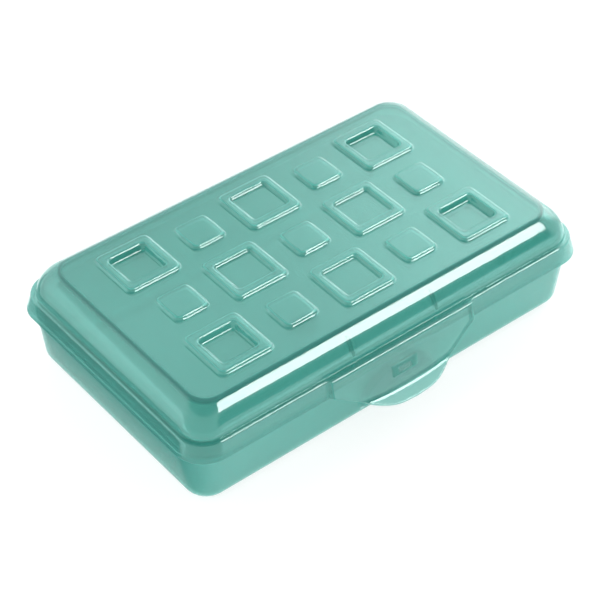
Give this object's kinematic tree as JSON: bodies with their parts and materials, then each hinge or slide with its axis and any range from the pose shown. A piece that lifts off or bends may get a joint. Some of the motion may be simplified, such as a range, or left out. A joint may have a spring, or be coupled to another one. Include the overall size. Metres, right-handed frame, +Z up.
{
  "type": "pencil case",
  "caption": "Shallow rounded pencil case: tapered tray, domed lid with raised squares hinged at the back, and a flexing front tab.",
  "frame": {"origin": "centre of the tray's footprint, on the surface it stands on", "axes": "+X along the case, +Y towards the hinge, -Y towards the latch tab, +Z up"},
  "size_m": [0.215, 0.1464, 0.0516],
  "materials": {
    "tray_plastic": "satin translucent polypropylene",
    "lid_plastic": "glossy translucent polypropylene"
  },
  "bodies": {
    "base": {"tray": "tray_plastic", "latch_catch": "tray_plastic", "hinge_bars": "tray_plastic"},
    "lid": {"lid_shell": "lid_plastic", "hinge_clips": "lid_plastic"},
    "latch": {"latch_tab": "lid_plastic"}
  },
  "joints": [
    {"name": "lid_hinge", "type": "hinge", "parent": "base", "child": "lid", "pos_m": [0, 0.0675, 0.03], "axis": [-1, 0, 0], "range_deg": [0, 180]},
    {"name": "latch_flex", "type": "hinge", "parent": "lid", "child": "latch", "pos_m": [0, -0.06459, 0.03665], "axis": [-1, 0, 0], "range_deg": [0, 8]}
  ]
}
